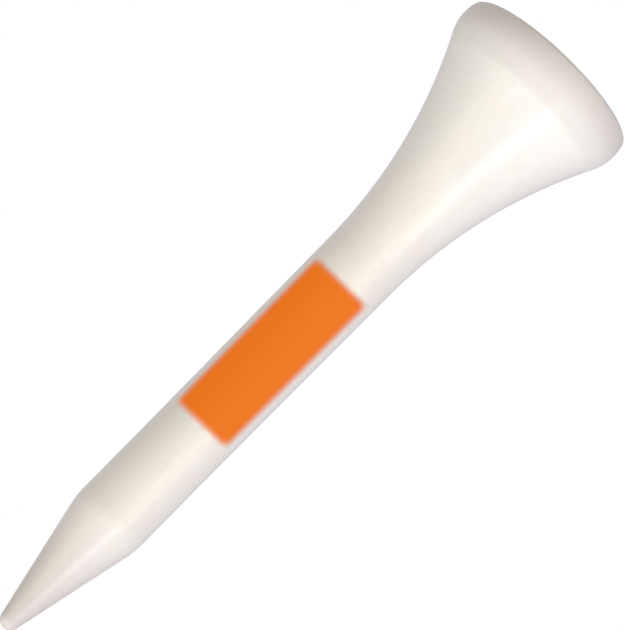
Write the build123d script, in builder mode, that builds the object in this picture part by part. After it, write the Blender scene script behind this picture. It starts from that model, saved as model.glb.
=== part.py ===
from build123d import *
import os
from math import asin, atan2, cos, degrees, hypot, radians, sin, tan

os.makedirs("parts", exist_ok=True)

# A wooden golf tee, in millimetres. It stands point down on the origin with its axis along +Z,
# and its print faces -Y.

# Whole tee
tee_length = 54.0
head_dia = 14.18

# Point and shank
nose_radius = 0.74
point_length = 10.04
shoulder_radius = 6.0
shank_dia = 5.51
shank_growth = 0.18
grip_length = 7.0

# Head
flare_length = 19.16
lip_radius = 3.36
lip_drop = 1.06
rim_radius = 0.32

# Cup for the ball
rim_land = 0.54
cup_depth = 2.4
cup_edge_radius = 0.35

# Finish
lacquer_thickness = 0.1
ink_thickness = 0.03
print_gap_below = 1.35
print_gap_above = 1.91
print_wrap = 114.0

# Point: a cone between the ball nose and the shank, rounded over at the shoulder
nose_to_shoulder = point_length - nose_radius
nose_reach = hypot(shank_dia / 2, nose_to_shoulder)
cone_angle = atan2(shank_dia / 2, nose_to_shoulder) - asin(nose_radius / nose_reach)
grip_start = point_length + shoulder_radius * tan(cone_angle / 2)
grip_end = grip_start + grip_length

# Head: a hollow flare, tangent to the shank below and to the convex lip above
shank_top_dia = shank_dia + shank_growth
flare_height = tee_length - flare_length
head_overhang = (head_dia - shank_top_dia) / 2
lip_height = tee_length - lip_drop
flare_rise = lip_height - flare_height
flare_radius = (head_overhang**2 + flare_rise**2) / (2 * head_overhang) - lip_radius
flare_angle = asin(flare_rise / (flare_radius + lip_radius))
rim_angle = asin((lip_drop - rim_radius) / (lip_radius - rim_radius))
lip_centre = head_dia / 2 - lip_radius
rim_centre = lip_centre + (lip_radius - rim_radius) * cos(rim_angle)

# Cup: a spherical dish, tangent to the rounded edge inside the rim's flat land
edge_centre = rim_centre - rim_land
edge_height = tee_length - cup_edge_radius
dish_radius = (edge_centre**2 + cup_depth**2) / (2 * cup_depth) - cup_edge_radius
dish_height = tee_length - cup_depth + dish_radius
edge_angle = atan2(dish_height - edge_height, edge_centre)


def half_outline(inset):
    """Draw the tee's half outline, moved inwards by inset, as a closed loop on the axis."""
    nose = CenterArc(
        (0, nose_radius), nose_radius - inset, -90, 90 - degrees(cone_angle)
    )
    shoulder = CenterArc(
        (shank_dia / 2 - shoulder_radius, grip_start),
        shoulder_radius - inset,
        -degrees(cone_angle),
        degrees(cone_angle),
    )
    flare = CenterArc(
        (shank_top_dia / 2 + flare_radius, flare_height),
        flare_radius + inset,
        180,
        -degrees(flare_angle),
    )
    lip = CenterArc(
        (lip_centre, lip_height),
        lip_radius - inset,
        -degrees(flare_angle),
        degrees(flare_angle + rim_angle),
    )
    rim = CenterArc(
        (rim_centre, tee_length - rim_radius),
        rim_radius - inset,
        degrees(rim_angle),
        90 - degrees(rim_angle),
    )
    cup_edge = CenterArc(
        (edge_centre, edge_height), cup_edge_radius - inset, 90, 90 - degrees(edge_angle)
    )
    dish = CenterArc(
        (0, dish_height), dish_radius + inset, -degrees(edge_angle), degrees(edge_angle) - 90
    )
    grip_top = (shank_dia / 2 - inset, grip_end)
    Line(nose @ 1, shoulder @ 0)
    Line(shoulder @ 1, grip_top)
    Line(grip_top, flare @ 0)
    Line(rim @ 1, cup_edge @ 0)
    Line(dish @ 1, nose @ 0)


def shank_radius(height):
    """Radius of the finished shank between the grip and the flare."""
    share = (height - grip_end) / (flare_height - grip_end)
    return shank_dia / 2 + share * (shank_top_dia - shank_dia) / 2


# Turned core, with the cup
with BuildPart() as wood_core:
    with BuildSketch(Plane.XZ):
        with BuildLine():
            half_outline(lacquer_thickness)
        make_face()
    revolve(axis=Axis.Z)

# White lacquer: a closed skin over the whole core
with BuildPart() as white_lacquer:
    with BuildSketch(Plane.XZ):
        with BuildLine():
            half_outline(0)
        make_face()
    revolve(axis=Axis.Z)
    with BuildSketch(Plane.XZ):
        with BuildLine():
            half_outline(lacquer_thickness)
        make_face()
    revolve(axis=Axis.Z, mode=Mode.SUBTRACT)

# Printed block: a film of ink that follows the shank, centred on -Y
print_start = grip_end + print_gap_below
print_end = flare_height - print_gap_above
first_edge = radians(-90 - print_wrap / 2)
radial = (cos(first_edge), sin(first_edge), 0)
tangent = (sin(first_edge), -cos(first_edge), 0)
with BuildPart() as orange_print:
    with BuildSketch(Plane(origin=(0, 0, 0), x_dir=radial, z_dir=tangent)):
        with BuildLine():
            Polyline(
                (shank_radius(print_start), print_start),
                (shank_radius(print_start) + ink_thickness, print_start),
                (shank_radius(print_end) + ink_thickness, print_end),
                (shank_radius(print_end), print_end),
                close=True,
            )
        make_face()
    revolve(axis=Axis.Z, revolution_arc=print_wrap)

wood_core.part.label = "wood_core"
white_lacquer.part.label = "white_lacquer"
orange_print.part.label = "orange_print"

export_step(wood_core.part, "parts/wood_core.step")
export_step(white_lacquer.part, "parts/white_lacquer.step")
export_step(orange_print.part, "parts/orange_print.step")

print(f"grip from {grip_start:.3f} to {grip_end:.3f}, flare radius {flare_radius:.2f}")
print(f"print from {print_start:.2f} to {print_end:.2f}, cup radius {edge_centre:.2f}")
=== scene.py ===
import math

import bmesh
import bpy
from mathutils import Matrix, Vector, noise


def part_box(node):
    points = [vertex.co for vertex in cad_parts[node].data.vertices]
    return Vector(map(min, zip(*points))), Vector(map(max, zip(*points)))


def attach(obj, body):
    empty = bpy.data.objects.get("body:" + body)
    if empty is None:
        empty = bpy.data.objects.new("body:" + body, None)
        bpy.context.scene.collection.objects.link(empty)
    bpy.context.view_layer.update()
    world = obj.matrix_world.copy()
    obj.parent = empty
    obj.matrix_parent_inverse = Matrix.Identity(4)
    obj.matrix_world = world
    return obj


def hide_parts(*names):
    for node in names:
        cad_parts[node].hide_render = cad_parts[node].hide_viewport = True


MM = 0.001

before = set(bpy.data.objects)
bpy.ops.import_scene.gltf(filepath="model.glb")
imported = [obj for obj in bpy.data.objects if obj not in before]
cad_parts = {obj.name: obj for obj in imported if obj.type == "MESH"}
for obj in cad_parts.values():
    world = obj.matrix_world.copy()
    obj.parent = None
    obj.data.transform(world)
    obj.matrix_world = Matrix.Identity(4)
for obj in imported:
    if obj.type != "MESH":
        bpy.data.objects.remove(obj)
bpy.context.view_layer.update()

# ---------------------------------------------------------------- sizes of the tee, in metres

LOW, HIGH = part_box("white_lacquer")
LENGTH = HIGH.z - LOW.z
HEAD_RADIUS = (HIGH.x - LOW.x) / 2
AXIS_END = Vector((0, 0, LOW.z))

NOSE_RADIUS = 0.74 * MM
POINT_LENGTH = 10.04 * MM
SHOULDER_RADIUS = 6.0 * MM
SHANK_RADIUS = 2.755 * MM
SHANK_TOP_RADIUS = 2.845 * MM
GRIP_LENGTH = 7.0 * MM
FLARE_LENGTH = 19.16 * MM
LIP_RADIUS = 3.36 * MM
LIP_DROP = 1.06 * MM
RIM_RADIUS = 0.32 * MM
RIM_LAND = 0.54 * MM
CUP_DEPTH = 2.4 * MM
CUP_EDGE_RADIUS = 0.35 * MM

PRINT_LOW, PRINT_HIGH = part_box("orange_print")
PRINT_WRAP = math.radians(114)
PRINT_CORNER = 0.3 * MM
INK_THICKNESS = 0.03 * MM
# the ink runs on past the solid film, fading, and is bedded a little into the coat
PRINT_SIDE_SPILL = 0.33 * MM
PRINT_END_SPILL = 0.26 * MM
PRINT_BED = 0.01 * MM
INK_SIDE_FADE = 1.2 * MM
INK_END_FADE = 0.9 * MM
PRINT_MIDDLE = (PRINT_LOW.z + PRINT_HIGH.z) / 2
PRINT_HALF_HEIGHT = (PRINT_HIGH.z - PRINT_LOW.z) / 2 + PRINT_END_SPILL
PRINT_HALF_WIDTH = PRINT_WRAP * SHANK_RADIUS / 2 + PRINT_SIDE_SPILL

# tolerances, and the fewest steps that a small arc is cut into
SAME_POINT = 1e-9
MERGE_DISTANCE = 0.001 * MM
FEWEST_ARC_STEPS = 4


# ---------------------------------------------------------------- small helpers


def arc(centre, radius, start, end, spacing):
    """Points (radius, height) along an arc, both ends included, angles in radians."""
    steps = max(FEWEST_ARC_STEPS, round(abs(end - start) * radius / spacing))
    points = []
    for i in range(steps + 1):
        angle = start + (end - start) * i / steps
        points.append((centre[0] + radius * math.cos(angle), centre[1] + radius * math.sin(angle)))
    return points


def straight(start, end, spacing):
    """Points between two ends, the ends left out."""
    steps = max(1, round(math.dist(start, end) / spacing))
    return [
        tuple(a + (b - a) * i / steps for a, b in zip(start, end)) for i in range(1, steps)
    ]


def tee_outline(spacing):
    """The lacquered tee's half outline, from the end of the point to the bottom of the cup.

    Returns its points, the height where the grip ends and the height where the flare starts.
    """
    reach = math.hypot(SHANK_RADIUS, POINT_LENGTH - NOSE_RADIUS)
    cone = math.atan2(SHANK_RADIUS, POINT_LENGTH - NOSE_RADIUS) - math.asin(NOSE_RADIUS / reach)
    grip_start = POINT_LENGTH + SHOULDER_RADIUS * math.tan(cone / 2)
    grip_end = grip_start + GRIP_LENGTH
    flare_height = LENGTH - FLARE_LENGTH

    overhang = HEAD_RADIUS - SHANK_TOP_RADIUS
    rise = LENGTH - LIP_DROP - flare_height
    flare_radius = (overhang**2 + rise**2) / (2 * overhang) - LIP_RADIUS
    flare = math.asin(rise / (flare_radius + LIP_RADIUS))
    rim = math.asin((LIP_DROP - RIM_RADIUS) / (LIP_RADIUS - RIM_RADIUS))
    rim_centre = HEAD_RADIUS - LIP_RADIUS + (LIP_RADIUS - RIM_RADIUS) * math.cos(rim)

    edge_centre = rim_centre - RIM_LAND
    edge_height = LENGTH - CUP_EDGE_RADIUS
    dish_radius = (edge_centre**2 + CUP_DEPTH**2) / (2 * CUP_DEPTH) - CUP_EDGE_RADIUS
    dish_height = LENGTH - CUP_DEPTH + dish_radius
    edge = math.atan2(dish_height - edge_height, edge_centre)

    quarter = math.pi / 2
    medium = spacing / 2
    fine = spacing / 4
    runs = [
        arc((0, NOSE_RADIUS), NOSE_RADIUS, -quarter, -cone, fine),
        arc((SHANK_RADIUS - SHOULDER_RADIUS, grip_start), SHOULDER_RADIUS, -cone, 0, medium),
        [(SHANK_RADIUS, grip_end)],
        arc(
            (SHANK_TOP_RADIUS + flare_radius, flare_height),
            flare_radius,
            math.pi,
            math.pi - flare,
            spacing,
        ),
        arc((HEAD_RADIUS - LIP_RADIUS, LENGTH - LIP_DROP), LIP_RADIUS, -flare, rim, medium),
        arc((rim_centre, LENGTH - RIM_RADIUS), RIM_RADIUS, rim, quarter, fine),
        arc((edge_centre, edge_height), CUP_EDGE_RADIUS, quarter, 2 * quarter - edge, fine),
        arc((0, dish_height), dish_radius, -edge, -quarter, spacing),
    ]
    outline = list(runs[0])
    for run in runs[1:]:
        outline += straight(outline[-1], run[0], spacing)
        # neighbouring arcs that are tangent share a point
        outline += run[1:] if math.dist(outline[-1], run[0]) < SAME_POINT else run
    return outline, grip_end, flare_height


def smooth_step(value, start, end):
    """0 before start, 1 after end, eased in between."""
    share = min(1.0, max(0.0, (value - start) / (end - start)))
    return share * share * (3 - 2 * share)


def new_piece(name, body, piece_bm, material):
    """Turn a bmesh into a finished piece that rides on the tee."""
    mesh = bpy.data.meshes.new(name)
    piece_bm.to_mesh(mesh)
    piece_bm.free()
    mesh.materials.append(material)
    for polygon in mesh.polygons:
        polygon.use_smooth = True
    piece = bpy.data.objects.new(name, mesh)
    bpy.context.scene.collection.objects.link(piece)
    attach(piece, body)
    return piece


# ---------------------------------------------------------------- shader helpers

MIX_FIRST, MIX_SECOND, MIX_RESULT = 6, 7, 2
TO_MM = 1 / MM


class Nodes:
    """Adds shader nodes to one tree and links them."""

    def __init__(self, tree):
        self.tree = tree

    def feed(self, value, socket):
        """Link an output to a socket, or set the socket's own value."""
        if isinstance(value, bpy.types.NodeSocket):
            self.tree.links.new(value, socket)
        else:
            socket.default_value = value

    def add(self, kind, inputs=None, **settings):
        node = self.tree.nodes.new(kind)
        for name, value in settings.items():
            setattr(node, name, value)
        for name, value in (inputs or {}).items():
            self.feed(value, node.inputs[name])
        return node

    def math(self, operation, first, second=0.0):
        return self.add("ShaderNodeMath", {0: first, 1: second}, operation=operation).outputs[0]

    def vector(self, operation, first, second=(0, 0, 0)):
        return self.add("ShaderNodeVectorMath", {0: first, 1: second}, operation=operation).outputs[0]

    def measure(self, operation, first, second=(0, 0, 0)):
        """A vector operation that gives a number."""
        inputs = {0: first, 1: second}
        return self.add("ShaderNodeVectorMath", inputs, operation=operation).outputs["Value"]

    def split(self, vector):
        return self.add("ShaderNodeSeparateXYZ", {"Vector": vector}).outputs

    def join(self, x, y, z):
        return self.add("ShaderNodeCombineXYZ", {"X": x, "Y": y, "Z": z}).outputs[0]

    def ease(self, value, start, end, low=0.0, high=1.0):
        """Ease from low at start to high at end."""
        inputs = {"Value": value, "From Min": start, "From Max": end, "To Min": low, "To Max": high}
        return self.add("ShaderNodeMapRange", inputs, interpolation_type="SMOOTHSTEP").outputs[0]

    def clouds(self, vector, detail=2.0, roughness=0.5):
        inputs = {"Vector": vector, "Scale": 1.0, "Detail": detail, "Roughness": roughness}
        return self.add("ShaderNodeTexNoise", inputs).outputs[0]

    def blend(self, amount, colour, other):
        """Take a colour towards another by an amount."""
        node = self.add("ShaderNodeMix", {0: amount}, data_type="RGBA")
        self.feed(colour, node.inputs[MIX_FIRST])
        self.feed(other, node.inputs[MIX_SECOND])
        return node.outputs[MIX_RESULT]

    def bump(self, height, depth):
        """A normal raised by a height; depth is how far a height of 1 stands up, in metres."""
        inputs = {"Height": height, "Distance": depth, "Strength": 1.0}
        return self.add("ShaderNodeBump", inputs).outputs[0]

    def place(self, group, **inputs):
        """Place a node group; an input's name is given with _ for its spaces."""
        named = {name.replace("_", " "): value for name, value in inputs.items()}
        return self.add("ShaderNodeGroup", named, node_tree=group).outputs[0]

    def position(self):
        """The place on the piece, in millimetres."""
        place = self.add("ShaderNodeTexCoord").outputs["Object"]
        return self.vector("MULTIPLY", place, (TO_MM, TO_MM, TO_MM))


def new_group(name, output, **inputs):
    """A node group with the given inputs, "Vector" or "Float" each, and one value out."""
    tree = bpy.data.node_groups.new(name, "ShaderNodeTree")
    for given, kind in inputs.items():
        tree.interface.new_socket(
            name=given.replace("_", " "), in_out="INPUT", socket_type="NodeSocket" + kind
        )
    tree.interface.new_socket(name=output, in_out="OUTPUT", socket_type="NodeSocketFloat")
    inside = tree.nodes.new("NodeGroupInput")
    outside = tree.nodes.new("NodeGroupOutput")
    return tree, Nodes(tree), inside.outputs, outside.inputs[0]


def new_material(name):
    """An empty Principled material: returns it, its nodes and its shader."""
    material = bpy.data.materials.new(name)
    material.use_nodes = True
    return material, Nodes(material.node_tree), material.node_tree.nodes["Principled BSDF"]


# ---------------------------------------------------------------- shared effects


GRAIN_FAINT, GRAIN_FULL = 0.35, 0.65
RING_STRETCH = 30.0


def grain_group():
    """Long fine streaks along the turned blank, 0 to 1."""
    tree, nodes, given, result = new_group(
        "wood grain", "Streak", Position="Vector", Width="Float", Length="Float"
    )
    x, y, z = nodes.split(given["Position"])
    across = nodes.math("DIVIDE", x, given["Width"])
    deep = nodes.math("DIVIDE", y, given["Width"])
    along = nodes.math("DIVIDE", z, given["Length"])
    streaks = nodes.clouds(nodes.join(across, deep, along), detail=4.0, roughness=0.6)
    nodes.feed(nodes.ease(streaks, GRAIN_FAINT, GRAIN_FULL), result)
    return tree


def turning_group():
    """Faint rings left by the lathe knife, 0 to 1."""
    tree, nodes, given, result = new_group(
        "turning rings", "Height", Position="Vector", Pitch="Float"
    )
    x, y, z = nodes.split(given["Position"])
    stretch = nodes.math("MULTIPLY", given["Pitch"], RING_STRETCH)
    around = nodes.math("DIVIDE", x, stretch)
    deep = nodes.math("DIVIDE", y, stretch)
    along = nodes.math("DIVIDE", z, given["Pitch"])
    nodes.feed(nodes.clouds(nodes.join(around, deep, along), detail=2.0), result)
    return tree


def mottle_group():
    """Soft cloudy patches, 0 to 1."""
    tree, nodes, given, result = new_group(
        "mottle", "Patch", Position="Vector", Size="Float", Contrast="Float"
    )
    size = nodes.join(given["Size"], given["Size"], given["Size"])
    patches = nodes.clouds(nodes.vector("DIVIDE", given["Position"], size), detail=3.0)
    spread = nodes.math("DIVIDE", 0.5, given["Contrast"])
    low = nodes.math("SUBTRACT", 0.5, spread)
    high = nodes.math("ADD", 0.5, spread)
    nodes.feed(nodes.ease(patches, low, high), result)
    return tree


def height_group():
    """0 below one height on the tee and 1 above another, with an uneven border."""
    tree, nodes, given, result = new_group(
        "by height", "Share", Position="Vector", Low="Float", High="Float", Unevenness="Float"
    )
    height = nodes.split(given["Position"])["Z"]
    wander = nodes.math("SUBTRACT", nodes.clouds(given["Position"]), 0.5)
    uneven = nodes.math("ADD", height, nodes.math("MULTIPLY", wander, given["Unevenness"]))
    nodes.feed(nodes.ease(uneven, given["Low"], given["High"]), result)
    return tree


def soft_edge_group():
    """1 in the middle of the UV square, fading to 0 along its four sides."""
    tree, nodes, given, result = new_group(
        "soft edge", "Inside", Map="Vector", Side_fade="Float", End_fade="Float"
    )
    square = nodes.split(given["Map"])
    shares = []
    for place, fade in ((square["X"], given["Side fade"]), (square["Y"], given["End fade"])):
        off_centre = nodes.math("ABSOLUTE", nodes.math("SUBTRACT", place, 0.5))
        shares.append(nodes.ease(nodes.math("SUBTRACT", 0.5, off_centre), 0.0, fade))
    nodes.feed(nodes.math("MULTIPLY", *shares), result)
    return tree


GRAIN = grain_group()
TURNING = turning_group()
MOTTLE = mottle_group()
BY_HEIGHT = height_group()
SOFT_EDGE = soft_edge_group()

# ---------------------------------------------------------------- materials, patterns in millimetres

# the grain shows through the lacquer and the ink, and the knife's rings on wood and lacquer
GRAIN_WIDTH, GRAIN_LENGTH = 0.16, 1.6
RING_PITCH = 0.28

LACQUER_WHITE = (0.93, 0.90, 0.86, 1)
LACQUER_CREAM = (0.92, 0.875, 0.79, 1)
# darker colour towards the point
LACQUER_POINT_DARK = (0.63, 0.575, 0.54, 1)
GRAIN_SHADOW = (0.80, 0.74, 0.64, 1)
# painted shade colour for the lip band and the rim
PAINTED_SHADE_GREY = (0.70, 0.66, 0.64, 1)
CREAM_SIZE, CLOUD_SIZE = 1.6, 0.45
PATCH_CONTRAST = 3.0
CREAM_SHARE = 0.45
GRAIN_SHARE = 0.22
RING_SHARE = 0.6
LACQUER_RELIEF = 0.002 * MM
LACQUER_ROUGHNESS = (0.36, 0.46)
LACQUER_SPECULAR = 0.6
COAT_ROUGHNESS = 0.09

# heights between which the lacquer darkens towards the point, and painted shade darkens the lip and
# its rim
POINT_FADE_START, POINT_FADE_END = 13.0, 0.0
LIP_START, LIP_FULL, RIM_FULL = 50.35, 50.9, 53.4
POINT_UNEVENNESS, LIP_UNEVENNESS, RIM_UNEVENNESS = 0.8, 0.15, 0.3
CUP_UNSHADED_RADIUS, CUP_SHADED_RADIUS = 5.8, 6.6
POINT_DARKENING = 0.76
POINT_WEAR = 0.6
POINT_WEAR_POWER = 3.0
LIP_PAINTED_SHADE = 0.44
RIM_PAINTED_SHADE = 0.55
WORN_GLOSS = 0.25
WORN_ROUGHNESS = 0.18


def white_lacquer():
    """Dipped white lacquer: glossy, cream in patches, with the grain just telling through, and
    painted shade on the lip and rim.
    """
    material, nodes, shader = new_material("white_lacquer")
    place = nodes.position()
    patch = nodes.place(MOTTLE, Position=place, Size=CREAM_SIZE, Contrast=PATCH_CONTRAST)
    cloud = nodes.place(MOTTLE, Position=place, Size=CLOUD_SIZE, Contrast=PATCH_CONTRAST)
    streak = nodes.place(GRAIN, Position=place, Width=GRAIN_WIDTH, Length=GRAIN_LENGTH)
    rings = nodes.place(TURNING, Position=place, Pitch=RING_PITCH)

    colour = nodes.blend(nodes.math("MULTIPLY", patch, CREAM_SHARE), LACQUER_WHITE, LACQUER_CREAM)
    fleck = nodes.math("MULTIPLY", nodes.math("MULTIPLY", streak, cloud), GRAIN_SHARE)
    colour = nodes.blend(fleck, colour, GRAIN_SHADOW)

    def between(low, high, unevenness):
        return nodes.place(BY_HEIGHT, Position=place, Low=low, High=high, Unevenness=unevenness)

    point = between(POINT_FADE_START, POINT_FADE_END, POINT_UNEVENNESS)
    lip = between(LIP_START, LIP_FULL, LIP_UNEVENNESS)
    rim = between(LIP_FULL, RIM_FULL, RIM_UNEVENNESS)
    radius = nodes.measure("LENGTH", nodes.vector("MULTIPLY", place, (1, 1, 0)))
    outside_cup = nodes.ease(radius, CUP_UNSHADED_RADIUS, CUP_SHADED_RADIUS)
    # darker towards the point
    colour = nodes.blend(nodes.math("MULTIPLY", point, POINT_DARKENING), colour, LACQUER_POINT_DARK)
    # painted shade: the lip band and the rim outside the cup are greyed where they turn away from the
    # light
    for band, shade_share in ((lip, LIP_PAINTED_SHADE), (rim, RIM_PAINTED_SHADE)):
        painted_shade = nodes.math("MULTIPLY", nodes.math("MULTIPLY", band, outside_cup), shade_share)
        colour = nodes.blend(painted_shade, colour, PAINTED_SHADE_GREY)
    nodes.feed(colour, shader.inputs["Base Color"])

    point_wear = nodes.math("MULTIPLY", nodes.math("POWER", point, POINT_WEAR_POWER), POINT_WEAR)
    worn = nodes.math("MAXIMUM", lip, point_wear)
    nodes.feed(nodes.ease(worn, 0.0, 1.0, 1.0, WORN_GLOSS), shader.inputs["Coat Weight"])
    sound = nodes.ease(cloud, 0.0, 1.0, *LACQUER_ROUGHNESS)
    roughness = nodes.math("ADD", sound, nodes.math("MULTIPLY", worn, WORN_ROUGHNESS))
    nodes.feed(roughness, shader.inputs["Roughness"])
    relief = nodes.math("ADD", streak, nodes.math("MULTIPLY", rings, RING_SHARE))
    nodes.feed(nodes.bump(relief, LACQUER_RELIEF), shader.inputs["Normal"])
    shader.inputs["Specular IOR Level"].default_value = LACQUER_SPECULAR
    shader.inputs["Coat Roughness"].default_value = COAT_ROUGHNESS
    return material


# painted glow of the ink, which evens out its shading
INK_PAINTED_GLOW_COLOUR = (0.871, 0.178, 0.006, 1)
INK_BODY = (0.275, 0.063, 0.002, 1)
INK_BODY_DEEP = (0.265, 0.059, 0.002, 1)
INK_PAINTED_GLOW = 0.7
INK_PATCH_SIZE = 0.9
INK_GRIT_SIZE, INK_GRIT_CONTRAST = 0.06, 4.0
INK_COVER_POWER = 0.9
INK_ROUGHNESS = (0.6, 0.75)
INK_SPECULAR = 0.25
INK_RELIEF = 0.002 * MM


def orange_ink():
    """Pad-printing ink, matt, with a painted glow that flattens its shading, thinning to nothing
    along its edge.
    """
    material, nodes, shader = new_material("orange_ink")
    place = nodes.position()
    patch = nodes.place(MOTTLE, Position=place, Size=INK_PATCH_SIZE, Contrast=PATCH_CONTRAST)
    grit = nodes.place(MOTTLE, Position=place, Size=INK_GRIT_SIZE, Contrast=INK_GRIT_CONTRAST)
    streak = nodes.place(GRAIN, Position=place, Width=GRAIN_WIDTH, Length=GRAIN_LENGTH)
    nodes.feed(nodes.blend(patch, INK_BODY, INK_BODY_DEEP), shader.inputs["Base Color"])
    # painted light: the ink glows to flatten its shading, and its body colour is cut down to match
    shader.inputs["Emission Color"].default_value = INK_PAINTED_GLOW_COLOUR
    shader.inputs["Emission Strength"].default_value = INK_PAINTED_GLOW
    inside = nodes.place(
        SOFT_EDGE,
        Map=nodes.add("ShaderNodeUVMap", uv_map="print").outputs[0],
        Side_fade=INK_SIDE_FADE / (2 * PRINT_HALF_WIDTH),
        End_fade=INK_END_FADE / (2 * PRINT_HALF_HEIGHT),
    )
    nodes.feed(nodes.math("POWER", inside, INK_COVER_POWER), shader.inputs["Alpha"])
    nodes.feed(nodes.ease(grit, 0.0, 1.0, *INK_ROUGHNESS), shader.inputs["Roughness"])
    relief = nodes.math("ADD", grit, streak)
    nodes.feed(nodes.bump(relief, INK_RELIEF), shader.inputs["Normal"])
    shader.inputs["Specular IOR Level"].default_value = INK_SPECULAR
    return material


BIRCH_PALE = (0.80, 0.66, 0.47, 1)
BIRCH_GOLD = (0.70, 0.52, 0.33, 1)
BIRCH_PORE = (0.42, 0.28, 0.16, 1)
BIRCH_RELIEF = 0.02 * MM
BAND_WIDTH, BAND_LENGTH, BAND_SHARE = 0.9, 30.0, 0.6
FIBRE_WIDTH, FIBRE_LENGTH, FIBRE_SHARE = 0.12, 4.0, 0.25
PORE_WIDTH, PORE_LENGTH, PORE_SHARE = 0.05, 0.9, 0.35
PORE_START = 0.8
BIRCH_ROUGHNESS = (0.55, 0.7)


def birch_wood():
    """Turned birch: pale, straight-grained, with fine pores and knife rings."""
    material, nodes, shader = new_material("birch_wood")
    place = nodes.position()
    bands = nodes.place(GRAIN, Position=place, Width=BAND_WIDTH, Length=BAND_LENGTH)
    fibres = nodes.place(GRAIN, Position=place, Width=FIBRE_WIDTH, Length=FIBRE_LENGTH)
    pores = nodes.place(GRAIN, Position=place, Width=PORE_WIDTH, Length=PORE_LENGTH)
    rings = nodes.place(TURNING, Position=place, Pitch=RING_PITCH)
    colour = nodes.blend(nodes.math("MULTIPLY", bands, BAND_SHARE), BIRCH_PALE, BIRCH_GOLD)
    colour = nodes.blend(nodes.math("MULTIPLY", fibres, FIBRE_SHARE), colour, BIRCH_GOLD)
    pore = nodes.ease(pores, PORE_START, 1.0, 0.0, PORE_SHARE)
    colour = nodes.blend(pore, colour, BIRCH_PORE)
    nodes.feed(colour, shader.inputs["Base Color"])
    nodes.feed(nodes.ease(fibres, 0.0, 1.0, *BIRCH_ROUGHNESS), shader.inputs["Roughness"])
    relief = nodes.math("SUBTRACT", nodes.math("ADD", fibres, rings), pore)
    nodes.feed(nodes.bump(relief, BIRCH_RELIEF), shader.inputs["Normal"])
    return material


# ---------------------------------------------------------------- pieces

COAT_STEP = 0.3 * MM
COAT_SIDES = 256
RIPPLE_HEIGHT = 0.006 * MM
RIPPLE_SIZE = 2.4 * MM
RIPPLE_STRETCH = 3.0
# the head was faced off a shade out of square
RIM_LEAN = math.radians(0.5)
OUTLINE, GRIP_END, FLARE_HEIGHT = tee_outline(COAT_STEP)


def lacquer_coat():
    """The white coat: the outline spun round the axis, with the slight ripple of a dipped finish."""
    bm = bmesh.new()
    points = [bm.verts.new((radius, 0, LOW.z + height)) for radius, height in OUTLINE]
    edges = [bm.edges.new(pair) for pair in zip(points, points[1:])]
    bmesh.ops.spin(
        bm,
        geom=points + edges,
        cent=AXIS_END,
        axis=(0, 0, 1),
        angle=2 * math.pi,
        steps=COAT_SIDES,
        use_merge=True,
    )
    bmesh.ops.remove_doubles(bm, verts=bm.verts, dist=MERGE_DISTANCE)
    bmesh.ops.recalc_face_normals(bm, faces=bm.faces)
    bm.normal_update()
    lip_height = HIGH.z - 2 * LIP_DROP
    for vert in bm.verts:
        place = Vector((vert.co.x, vert.co.y, vert.co.z / RIPPLE_STRETCH)) / RIPPLE_SIZE
        vert.co += vert.normal * noise.noise(place) * RIPPLE_HEIGHT
        vert.co.z += smooth_step(vert.co.z, lip_height, HIGH.z) * vert.co.x * math.tan(RIM_LEAN)
    coat = new_piece("lacquer_coat", "root", bm, white_lacquer())
    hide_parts("white_lacquer")


PRINT_CELL = 0.12 * MM
PRINT_CORNER_STEPS = 8
# the flat pad leans up at the shank, so the ends of the print bow towards the point;
# at the pivot, an angle round the shank from the middle of the print, they keep their height
PAD_LEAN = math.radians(12.5)
BOW_PIVOT = PRINT_WRAP / 3


def shank_radius(z):
    """The lacquered shank's radius at a height, from the grip to the start of the flare."""
    share = (z - LOW.z - GRIP_END) / (FLARE_HEIGHT - GRIP_END)
    return SHANK_RADIUS + (SHANK_TOP_RADIUS - SHANK_RADIUS) * share


def cut_rows(bm, axis, half_length):
    """Cut the flat film across one axis, cell by cell."""
    cells = round(2 * half_length / PRINT_CELL)
    for i in range(1, cells):
        plane_co, plane_no = Vector(), Vector()
        plane_co[axis] = -half_length + 2 * half_length * i / cells
        plane_no[axis] = 1
        geom = bm.verts[:] + bm.edges[:] + bm.faces[:]
        bmesh.ops.bisect_plane(bm, geom=geom, plane_co=plane_co, plane_no=plane_no)


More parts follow.
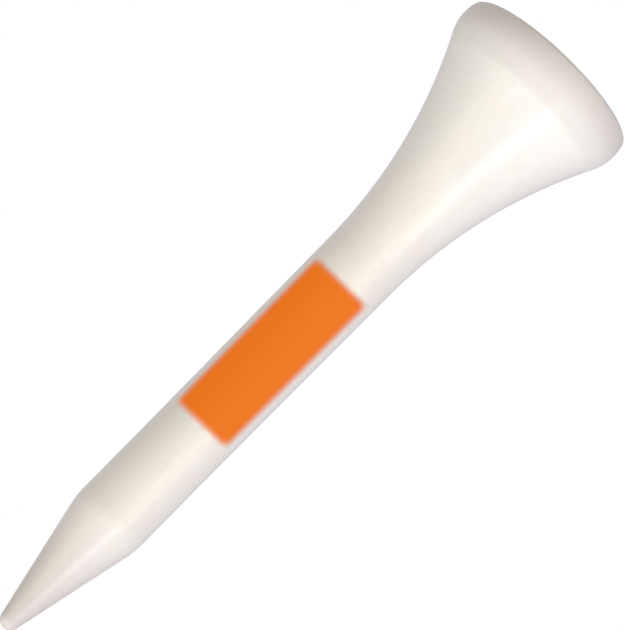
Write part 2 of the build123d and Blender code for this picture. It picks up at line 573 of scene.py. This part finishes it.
def orange_print():
    """The printed patch: a flat film with round corners, cut into cells and wrapped on the shank."""
    bm = bmesh.new()
    corners = [(-1, -1), (1, -1), (1, 1), (-1, 1)]
    verts = [bm.verts.new((x * PRINT_HALF_WIDTH, y * PRINT_HALF_HEIGHT, 0)) for x, y in corners]
    bm.faces.new(verts)
    bmesh.ops.bevel(
        bm,
        geom=bm.verts[:],
        offset=PRINT_CORNER,
        offset_type="OFFSET",
        segments=PRINT_CORNER_STEPS,
        profile=0.5,
        affect="VERTICES",
        material=-1,
    )
    cut_rows(bm, 0, PRINT_HALF_WIDTH)
    cut_rows(bm, 1, PRINT_HALF_HEIGHT)
    layer = bm.loops.layers.uv.new("print")
    for face in bm.faces:
        for loop in face.loops:
            u = loop.vert.co.x / (2 * PRINT_HALF_WIDTH) + 0.5
            v = loop.vert.co.y / (2 * PRINT_HALF_HEIGHT) + 0.5
            loop[layer].uv = (u, v)
    for vert in bm.verts:
        angle = vert.co.x / SHANK_RADIUS
        bow = math.tan(PAD_LEAN) * SHANK_RADIUS * (math.cos(angle) - math.cos(BOW_PIVOT))
        z = PRINT_MIDDLE + vert.co.y - bow
        to_edge = min(PRINT_HALF_WIDTH - abs(vert.co.x), PRINT_HALF_HEIGHT - abs(vert.co.y))
        film = INK_THICKNESS * smooth_step(to_edge, -INK_END_FADE, INK_END_FADE)
        radius = shank_radius(z) + film
        vert.co = (radius * math.sin(angle), -radius * math.cos(angle), z)
    bmesh.ops.recalc_face_normals(bm, faces=bm.faces)
    bmesh.ops.solidify(bm, geom=bm.faces[:], thickness=-(INK_THICKNESS + PRINT_BED))
    bmesh.ops.recalc_face_normals(bm, faces=bm.faces)
    patch = new_piece("orange_patch", "root", bm, orange_ink())
    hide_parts("orange_print")


lacquer_coat()
orange_print()
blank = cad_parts["wood_core"]
blank.data.materials.clear()
blank.data.materials.append(birch_wood())

# ---------------------------------------------------------------- camera

VIEW_AZIMUTH = math.radians(3.5)
VIEW_TILT = math.radians(12.5)
AXIS_SLOPE = math.radians(45.37)
VIEW_DISTANCE = 1.0
FRAME_HEIGHT = 42.75 * MM
AIM_HEIGHT = 30.37 * MM
AIM_SIDE = 0.084 * MM
SENSOR_WIDTH = 36
NEAREST, FARTHEST = 0.05, 50

# the studio's own directions: back towards the camera, along the tee in view, across it
BACK = Vector(
    (
        math.sin(VIEW_AZIMUTH) * math.cos(VIEW_TILT),
        -math.cos(VIEW_AZIMUTH) * math.cos(VIEW_TILT),
        -math.sin(VIEW_TILT),
    )
)
ALONG = (Vector((0, 0, 1)) - BACK * BACK.z).normalized()
ACROSS = (-BACK).cross(ALONG)


def add_camera():
    """A long lens below the head, rolled so that the tee points down to the lower left."""
    right = ALONG * math.cos(AXIS_SLOPE) + ACROSS * math.sin(AXIS_SLOPE)
    up = ALONG * math.sin(AXIS_SLOPE) - ACROSS * math.cos(AXIS_SLOPE)
    data = bpy.data.cameras.new("camera")
    data.sensor_width = SENSOR_WIDTH
    data.lens = data.sensor_width * VIEW_DISTANCE / FRAME_HEIGHT
    data.clip_start = NEAREST
    data.clip_end = FARTHEST
    camera = bpy.data.objects.new("camera", data)
    aim = Vector((0, 0, AIM_HEIGHT)) + ACROSS * AIM_SIDE
    rotation = Matrix((right, up, BACK)).transposed().to_4x4()
    camera.matrix_world = Matrix.Translation(aim + BACK * VIEW_DISTANCE) @ rotation
    bpy.context.scene.collection.objects.link(camera)
    bpy.context.scene.camera = camera


add_camera()

# ---------------------------------------------------------------- studio light and floor

PANEL_DISTANCE = 0.6
KEY_ROLL = math.radians(20)
LIT_POINT = Vector((0, 0, 0.032))


def softbox(name, towards, size, watts, tint, roll=0.0, glint=True):
    """A soft panel facing the tee; towards is its direction as parts of across, along and back."""
    across, along, back = towards
    facing = (ACROSS * across + ALONG * along + BACK * back).normalized()
    data = bpy.data.lights.new(name, "AREA")
    data.shape = "RECTANGLE"
    data.size, data.size_y = size
    data.energy = watts
    data.color = tint
    box = bpy.data.objects.new(name, data)
    upright = (ALONG - facing * ALONG.dot(facing)).normalized()
    rotation = Matrix((upright.cross(facing), upright, facing)).transposed().to_4x4()
    turned = rotation @ Matrix.Rotation(roll, 4, "Z")
    box.matrix_world = Matrix.Translation(LIT_POINT + facing * PANEL_DISTANCE) @ turned
    box.visible_camera = False
    box.visible_glossy = glint
    bpy.context.scene.collection.objects.link(box)


softbox("key", (0.57, -0.25, 0.77), (0.22, 0.40), 0.36, (1, 0.99, 0.98), roll=KEY_ROLL)
softbox("key fill", (0.68, -0.15, 0.72), (0.26, 0.50), 0.38, (0.55, 0.52, 1))
softbox("front", (0.30, -0.10, 0.90), (0.50, 0.90), 0.15, (0.4, 0.5, 1))
softbox("left", (-0.45, -0.50, 0.75), (0.55, 0.80), 0.78, (1, 0.92, 0.56))
softbox("right", (0.95, -0.10, 0.20), (0.50, 0.80), 0.42, (0.75, 0.71, 1))
softbox("high", (0.55, 0.38, 0.75), (0.42, 0.42), 0.54, (1, 0.98, 0.70))
softbox("high fill", (0.32, 0.38, 0.86), (1.00, 0.50), 0.88, (1, 0.96, 0.66))
# these two only fill the back and the cup, and leave no glint along the outline
softbox("behind", (0.0, 0.0, -1.0), (0.26, 0.26), 0.5, (0.98, 1, 0.98), glint=False)
softbox("overhead", (-0.32, 0.72, -0.62), (0.25, 0.25), 0.9, (0.98, 1, 0.98), glint=False)

ROOM_LIGHT = (0.24, 0.208, 0.215)
TABLE_LIGHT = (1.01, 1.05, 1.08)
BACKDROP_LIGHT = (0.57, 0.52, 0.55)
# the room gives way to the table as a direction's height falls from the first to the second,
# and to the backdrop as its match with straight ahead rises
TABLE_START, TABLE_FULL = 0.3, -1.0
BACKDROP_START, BACKDROP_FULL = 0.2, 0.9
WHITE = (1, 1, 1, 1)


def add_room():
    """White to the camera; to the tee a dim room, a bright white table and a pale backdrop."""
    world = bpy.data.worlds.new("studio")
    bpy.context.scene.world = world
    world.use_nodes = True
    nodes = Nodes(world.node_tree)
    direction = nodes.add("ShaderNodeTexCoord").outputs["Generated"]
    down = nodes.ease(nodes.split(direction)["Z"], TABLE_START, TABLE_FULL)
    room = nodes.blend(down, (*ROOM_LIGHT, 1), (*TABLE_LIGHT, 1))
    ahead = nodes.measure("DOT_PRODUCT", direction, -BACK)
    behind = nodes.ease(ahead, BACKDROP_START, BACKDROP_FULL)
    room = nodes.blend(behind, room, (*BACKDROP_LIGHT, 1))
    seen = nodes.add("ShaderNodeLightPath").outputs["Is Camera Ray"]
    background = world.node_tree.nodes["Background"]
    nodes.feed(nodes.blend(seen, room, WHITE), background.inputs["Color"])


FLOOR_RADIUS = 0.11
FLOOR_SIDES = 96
FLOOR_CLEAR = 0.02 * MM
FLOOR_ROUGHNESS = 0.8
FLOOR_WHITE = (0.9, 0.9, 0.89, 1)
FLOOR_GLOW_COLOUR = (0.31, 0.35, 0.35, 1)
FLOOR_FADE_START = 0.35 * FLOOR_RADIUS
FLOOR_FADE_END = 0.95 * FLOOR_RADIUS


def add_floor():
    """A pale round floor under the point that fades out, and is clear from below."""
    bm = bmesh.new()
    bmesh.ops.create_circle(bm, cap_ends=True, segments=FLOOR_SIDES, radius=FLOOR_RADIUS)
    bmesh.ops.translate(bm, vec=(0, 0, LOW.z - FLOOR_CLEAR), verts=bm.verts)
    mesh = bpy.data.meshes.new("floor")
    bm.to_mesh(mesh)
    bm.free()
    floor = bpy.data.objects.new("floor", mesh)
    bpy.context.scene.collection.objects.link(floor)
    for ray in ("visible_diffuse", "visible_glossy", "visible_transmission", "visible_shadow"):
        setattr(floor, ray, False)
    material, nodes, shader = new_material("pale_floor")
    shader.inputs["Base Color"].default_value = FLOOR_WHITE
    shader.inputs["Roughness"].default_value = FLOOR_ROUGHNESS
    shader.inputs["Emission Color"].default_value = FLOOR_GLOW_COLOUR
    shader.inputs["Emission Strength"].default_value = 1.0
    place = nodes.add("ShaderNodeTexCoord").outputs["Object"]
    radius = nodes.measure("LENGTH", place)
    fade = nodes.ease(radius, FLOOR_FADE_START, FLOOR_FADE_END, 1.0, 0.0)
    below = nodes.add("ShaderNodeNewGeometry").outputs["Backfacing"]
    above = nodes.math("SUBTRACT", 1.0, below)
    nodes.feed(nodes.math("MULTIPLY", fade, above), shader.inputs["Alpha"])
    mesh.materials.append(material)


add_room()
add_floor()
bpy.context.scene.view_settings.view_transform = "Standard"
